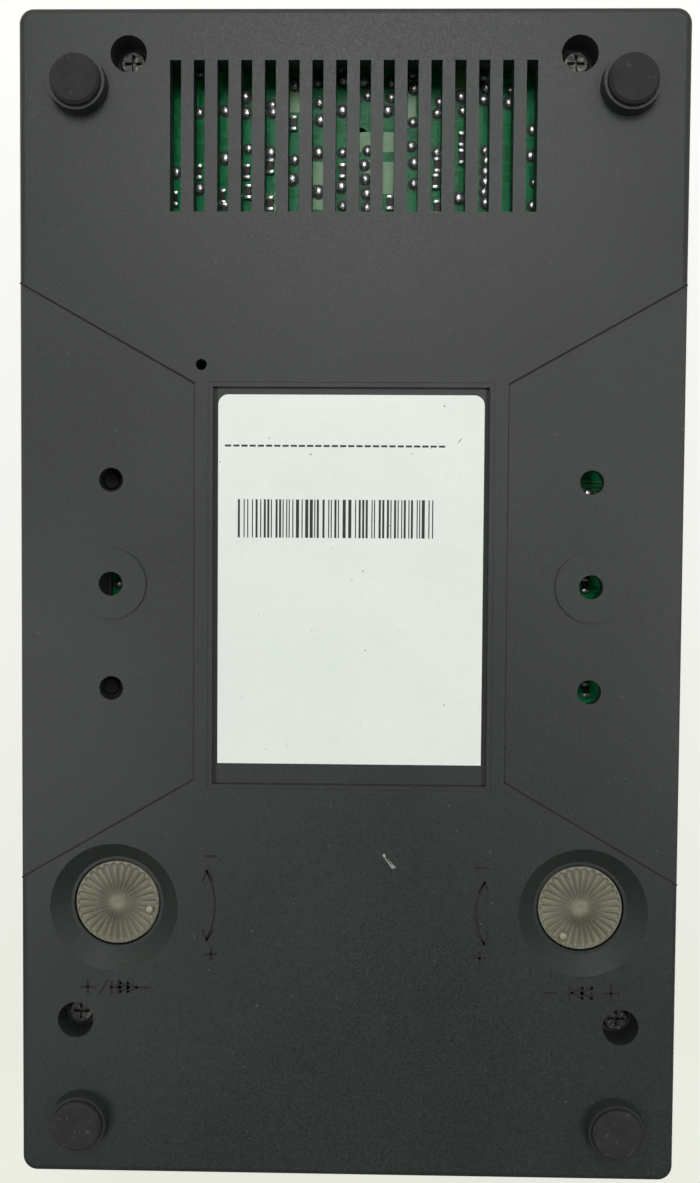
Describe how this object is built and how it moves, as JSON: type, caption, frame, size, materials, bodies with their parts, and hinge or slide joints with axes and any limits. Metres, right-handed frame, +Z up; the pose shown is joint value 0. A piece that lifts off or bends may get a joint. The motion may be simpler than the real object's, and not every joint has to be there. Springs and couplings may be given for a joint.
{
  "type": "cassette transcription machine",
  "caption": "Low wedge-shaped desk cassette transcriber: vented moulded base on four feet, two sunk fluted trimmers, hinged bay lid, key row, sliders, speaker and display.",
  "frame": {"origin": "centre of the footprint, on the plane that the rubber feet stand on", "axes": "+Z up from the desk, +Y from the key row to the rear sockets, +X to the user's right"},
  "size_m": [0.132, 0.233, 0.0539],
  "materials": {
    "shell": "fine moulded texture",
    "foot_rubber": "matt",
    "screw_steel": "blackened",
    "label_foil": "satin printed foil",
    "knob_plastic": "satin",
    "dark_plastic": "satin",
    "circuit_board": "solder mask",
    "capacitor_sleeve": "sleeved",
    "sink_aluminium": "extruded",
    "smoked_window": "clear smoked",
    "display_glass": "grey-green",
    "lamp_lens": "tinted clear",
    "speaker_metal": "black paint",
    "magnet_ferrite": "ground",
    "cone_paper": "felted",
    "plated_steel": "zinc plated",
    "polished_steel": "ground and polished",
    "bearing_brass": "turned",
    "drive_rubber": "ground",
    "reel_plastic": "natural acetal",
    "key_plastic": "fine texture",
    "mat_silicone": "translucent"
  },
  "bodies": {
    "housing": {"bottom_shell": "shell", "top_shell": "shell", "rating_label": "label_foil", "rubber_feet": "foot_rubber", "case_screws": "screw_steel", "speed_potentiometer": "dark_plastic", "backspace_potentiometer": "dark_plastic", "main_board": "circuit_board", "board_screws": "plated_steel", "electrolytic_capacitors": "capacitor_sleeve", "integrated_circuits": "dark_plastic", "heat_sink": "sink_aluminium", "voltage_regulator": "dark_plastic", "power_socket": "dark_plastic", "foot_control_socket": "dark_plastic", "headphone_socket": "dark_plastic", "display_window": "smoked_window", "display_module": "display_glass", "display_board": "circuit_board", "power_lens": "lamp_lens", "speaker_frame": "speaker_metal", "speaker_magnet": "magnet_ferrite", "speaker_cone": "cone_paper", "lid_hinge_pin": "plated_steel", "deck_plate": "plated_steel", "deck_screws": "plated_steel", "cassette_well": "dark_plastic", "capstan_bearing": "bearing_brass", "flywheel_bracket": "plated_steel", "drive_motor": "plated_steel", "drive_belt": "drive_rubber", "reel_motor": "plated_steel", "play_solenoid": "plated_steel", "key_board": "circuit_board", "key_mat": "mat_silicone", "volume_fader": "plated_steel", "tone_fader": "plated_steel"},
    "speed_knob": {"speed_knob": "knob_plastic"},
    "backspace_knob": {"backspace_knob": "knob_plastic"},
    "lid": {"cassette_lid": "shell", "lid_window": "smoked_window"},
    "flywheel": {"flywheel": "plated_steel", "capstan_shaft": "polished_steel"},
    "motor_pulley": {"motor_pulley": "bearing_brass"},
    "reel_pinion": {"reel_pinion": "bearing_brass"},
    "idler_arm": {"idler_arm": "plated_steel"},
    "reel_idler": {"reel_idler": "drive_rubber"},
    "supply_spindle": {"supply_spindle": "reel_plastic"},
    "take_up_spindle": {"take_up_spindle": "reel_plastic"},
    "head_bridge": {"head_bridge": "plated_steel", "playback_head": "polished_steel"},
    "pinch_arm": {"pinch_arm": "plated_steel"},
    "pinch_roller": {"pinch_roller": "drive_rubber"},
    "rewind_key": {"rewind_key": "key_plastic"},
    "stop_key": {"stop_key": "key_plastic"},
    "play_key": {"play_key": "key_plastic"},
    "forward_key": {"forward_key": "key_plastic"},
    "eject_key": {"eject_key": "key_plastic"},
    "volume_slider": {"volume_slider": "key_plastic"},
    "tone_slider": {"tone_slider": "key_plastic"}
  },
  "joints": [
    {"name": "speed_turn", "type": "hinge", "parent": "housing", "child": "speed_knob", "pos_m": [0.0471, -0.0618, 0.0073], "axis": [0, 0, 1], "range_deg": [-140, 140]},
    {"name": "backspace_turn", "type": "hinge", "parent": "housing", "child": "backspace_knob", "pos_m": [-0.0471, -0.0618, 0.0073], "axis": [0, 0, 1], "range_deg": [-140, 140]},
    {"name": "lid_open", "type": "hinge", "parent": "housing", "child": "lid", "pos_m": [0, 0.0445, 0.04853], "axis": [-1, 0, 0], "range_deg": [0, 65]},
    {"name": "flywheel_spin", "type": "hinge", "parent": "housing", "child": "flywheel", "pos_m": [0.0135, 0.009, 0.0168], "axis": [0, 0, 1], "continuous": true},
    {"name": "pulley_spin", "type": "hinge", "parent": "housing", "child": "motor_pulley", "pos_m": [-0.03, 0.004, 0.0186], "axis": [0, 0, 1], "continuous": true},
    {"name": "idler_swing", "type": "hinge", "parent": "housing", "child": "idler_arm", "pos_m": [0, 0.034, 0.0355], "axis": [0, 0, 1], "range_deg": [-14.5, 14.5]},
    {"name": "idler_spin", "type": "hinge", "parent": "idler_arm", "child": "reel_idler", "pos_m": [0, 0.0274, 0.0338], "axis": [0, 0, 1], "continuous": true},
    {"name": "pinion_spin", "type": "hinge", "parent": "housing", "child": "reel_pinion", "pos_m": [0, 0.034, 0.0338], "axis": [0, 0, 1], "continuous": true},
    {"name": "supply_spin", "type": "hinge", "parent": "housing", "child": "supply_spindle", "pos_m": [-0.0127, 0.024, 0.0327], "axis": [0, 0, 1], "continuous": true},
    {"name": "take_up_spin", "type": "hinge", "parent": "housing", "child": "take_up_spindle", "pos_m": [0.0127, 0.024, 0.0327], "axis": [0, 0, 1], "continuous": true},
    {"name": "head_slide", "type": "slide", "parent": "housing", "child": "head_bridge", "axis": [0, 1, 0], "range_m": [0, 0.0026], "stiffness_N_per_m": 300, "springref_m": -0.002},
    {"name": "pinch_swing", "type": "hinge", "parent": "housing", "child": "pinch_arm", "pos_m": [0.0225, -0.0005, 0.0385], "axis": [0, 0, -1], "range_deg": [0, 10.8]},
    {"name": "roller_spin", "type": "hinge", "parent": "pinch_arm", "child": "pinch_roller", "pos_m": [0.0135, 0.0023, 0.0415], "axis": [0, 0, 1], "continuous": true},
    {"name": "rewind_press", "type": "slide", "parent": "housing", "child": "rewind_key", "axis": [0, 0, -1], "range_m": [0, 0.0018], "stiffness_N_per_m": 600, "springref_m": -0.0005, "deforming": ["key_mat"]},
    {"name": "stop_press", "type": "slide", "parent": "housing", "child": "stop_key", "axis": [0, 0, -1], "range_m": [0, 0.0018], "stiffness_N_per_m": 600, "springref_m": -0.0005, "deforming": ["key_mat"]},
    {"name": "play_press", "type": "slide", "parent": "housing", "child": "play_key", "axis": [0, 0, -1], "range_m": [0, 0.0018], "stiffness_N_per_m": 600, "springref_m": -0.0005, "deforming": ["key_mat"]},
    {"name": "forward_press", "type": "slide", "parent": "housing", "child": "forward_key", "axis": [0, 0, -1], "range_m": [0, 0.0018], "stiffness_N_per_m": 600, "springref_m": -0.0005, "deforming": ["key_mat"]},
    {"name": "eject_press", "type": "slide", "parent": "housing", "child": "eject_key", "axis": [0, 0, -1], "range_m": [0, 0.0018], "stiffness_N_per_m": 600, "springref_m": -0.0005, "deforming": ["key_mat"]},
    {"name": "volume_move", "type": "slide", "parent": "housing", "child": "volume_slider", "axis": [1, 0, 0], "range_m": [-0.012, 0.012]},
    {"name": "tone_move", "type": "slide", "parent": "housing", "child": "tone_slider", "axis": [1, 0, 0], "range_m": [-0.012, 0.012]}
  ],
  "couplings": [
    {"joint": "pulley_spin", "follows": "flywheel_spin", "ratio": 4.8064},
    {"joint": "pinion_spin", "follows": "idler_spin", "ratio": -2.25},
    {"joint": "pinch_swing", "follows": "head_slide", "rad_per_m": 72.4}
  ]
}
